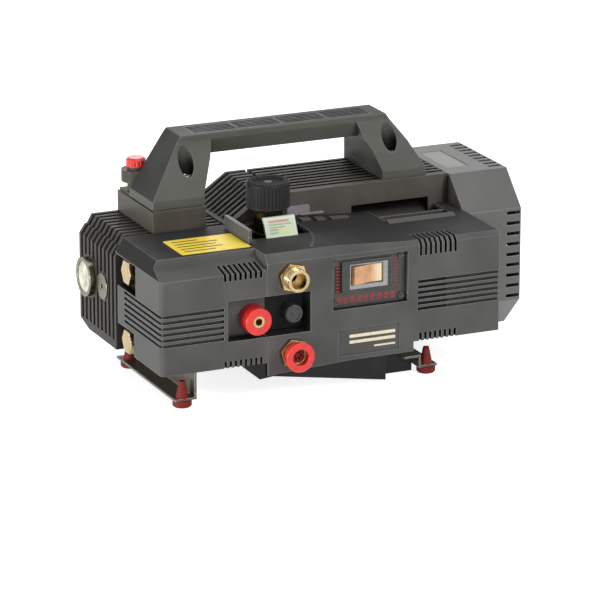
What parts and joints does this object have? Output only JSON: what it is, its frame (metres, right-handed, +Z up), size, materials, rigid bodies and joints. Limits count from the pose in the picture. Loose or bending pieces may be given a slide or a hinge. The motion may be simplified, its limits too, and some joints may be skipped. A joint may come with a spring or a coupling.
{
  "type": "portable pressure washer pump unit",
  "caption": "Portable electric pressure washer: finned motor and plunger pump under moulded covers, with a bridge handle, hose fittings, pressure knob, rocker switch and rubber feet.",
  "frame": {"origin": "centre of the bounding box at the floor", "axes": "+X along the shaft from the pump to the fan, +Y from the front covers to the back, +Z up"},
  "size_m": [0.4354, 0.277, 0.2323],
  "materials": {
    "moulded_cover": "fine textured moulding",
    "painted_casting": "satin black paint on cast aluminium",
    "handle_plastic": "moulded, satin",
    "black_plastic": "moulded",
    "brass": "turned and forged",
    "steel": "ground",
    "aluminium_can": "drawn can",
    "zinc_steel": "zinc plated",
    "red_plastic": "moulded",
    "red_rubber": "moulded",
    "black_rubber": "moulded",
    "copper": "varnished wire",
    "glass": "clear",
    "amber_plastic": "translucent amber, moulded",
    "bezel_plastic": "gloss moulded",
    "plate_finish": "pale green film"
  },
  "bodies": {
    "root": {"pump_cover": "moulded_cover", "front_housing": "moulded_cover", "fan_hood": "moulded_cover", "crankcase": "painted_casting", "pump_end_shield": "painted_casting", "motor_casing": "painted_casting", "fan_end_shield": "painted_casting", "handle": "handle_plastic", "handle_pedestal": "handle_plastic", "grip_cover": "black_plastic", "base_pan": "black_plastic", "overload_breaker": "black_plastic", "switch_body": "black_plastic", "cable_gland": "black_plastic", "pump_head": "brass", "valve_block": "brass", "valve_cartridges": "brass", "gallery_plugs": "brass", "outlet_fitting": "brass", "inlet_fitting": "brass", "regulator_bonnet": "brass", "detergent_nipple": "brass", "stator_core": "steel", "shaft_bearings": "steel", "plunger_springs": "steel", "unloader_spring": "steel", "run_capacitor": "aluminium_can", "left_foot_bracket": "zinc_steel", "right_foot_bracket": "zinc_steel", "panel_screws": "zinc_steel", "handle_screws": "zinc_steel", "bracket_bolts": "zinc_steel", "head_bolts": "zinc_steel", "sight_glass_bezel": "zinc_steel", "drain_plug": "zinc_steel", "inlet_strainer": "red_plastic", "rubber_feet": "red_rubber", "shaft_seal": "black_rubber", "plunger_seals": "black_rubber", "stator_windings": "copper", "sight_glass": "glass", "switch_bezel": "bezel_plastic", "pressure_plate": "plate_finish"},
    "rotor": {"motor_shaft": "steel", "rotor_core": "steel", "cooling_fan": "black_plastic", "eccentric_bearings": "steel"},
    "plunger_one": {"plunger_1": "steel"},
    "plunger_two": {"plunger_2": "steel"},
    "plunger_three": {"plunger_3": "steel"},
    "pressure_knob": {"regulator_knob": "black_plastic", "regulator_spindle": "steel"},
    "spring_nut": {"spring_seat": "brass"},
    "unloader": {"unloader_piston": "steel"},
    "detergent_dial": {"detergent_knob": "red_plastic"},
    "reset_key": {"reset_button": "black_plastic"},
    "rocker": {"switch_rocker": "amber_plastic"},
    "oil_cap": {"filler_cap": "red_plastic"},
    "hose_collar": {"inlet_collar": "red_plastic"}
  },
  "joints": [
    {"name": "shaft_spin", "type": "hinge", "parent": "root", "child": "rotor", "pos_m": [-0.01125, 0.0495, 0.0885], "axis": [1, 0, 0], "continuous": true},
    {"name": "plunger_one_stroke", "type": "slide", "parent": "root", "child": "plunger_one", "axis": [0, 1, 0], "range_m": [-0.003, 0.003], "stiffness_N_per_m": 400},
    {"name": "plunger_two_stroke", "type": "slide", "parent": "root", "child": "plunger_two", "axis": [0, 1, 0], "range_m": [-0.003, 0.003], "stiffness_N_per_m": 400},
    {"name": "plunger_three_stroke", "type": "slide", "parent": "root", "child": "plunger_three", "axis": [0, 1, 0], "range_m": [-0.003, 0.003], "stiffness_N_per_m": 400},
    {"name": "pressure_turn", "type": "hinge", "parent": "root", "child": "pressure_knob", "pos_m": [-0.05925, -0.0295, 0.17], "axis": [0, 0, -1], "range_deg": [0, 1080]},
    {"name": "spring_nut_travel", "type": "slide", "parent": "root", "child": "spring_nut", "axis": [0, 0, -1], "range_m": [0, 0.0046], "deforming": ["unloader_spring"]},
    {"name": "unloader_lift", "type": "slide", "parent": "root", "child": "unloader", "axis": [0, 0, 1], "range_m": [0, 0.002], "stiffness_N_per_m": 500, "springref_m": -0.002, "deforming": ["unloader_spring"]},
    {"name": "detergent_turn", "type": "hinge", "parent": "root", "child": "detergent_dial", "pos_m": [-0.11075, -0.1165, 0.0815], "axis": [0, -1, 0], "range_deg": [0, 270]},
    {"name": "reset_press", "type": "slide", "parent": "root", "child": "reset_key", "axis": [0, 1, 0], "range_m": [0, 0.003], "stiffness_N_per_m": 300, "springref_m": -0.001},
    {"name": "switch_rock", "type": "hinge", "parent": "root", "child": "rocker", "pos_m": [0.00875, -0.1105, 0.1135], "axis": [0, 0, 1], "range_deg": [-20, 0]},
    {"name": "oil_cap_turn", "type": "hinge", "parent": "root", "child": "oil_cap", "pos_m": [-0.15525, 0.0805, 0.193], "axis": [0, 0, 1], "range_deg": [0, 720]},
    {"name": "hose_collar_spin", "type": "hinge", "parent": "root", "child": "hose_collar", "pos_m": [-0.07215, -0.1315, 0.044], "axis": [0, -1, 0], "continuous": true}
  ],
  "couplings": [
    {"joint": "spring_nut_travel", "follows": "pressure_turn", "m_per_rad": 0.00023873}
  ]
}
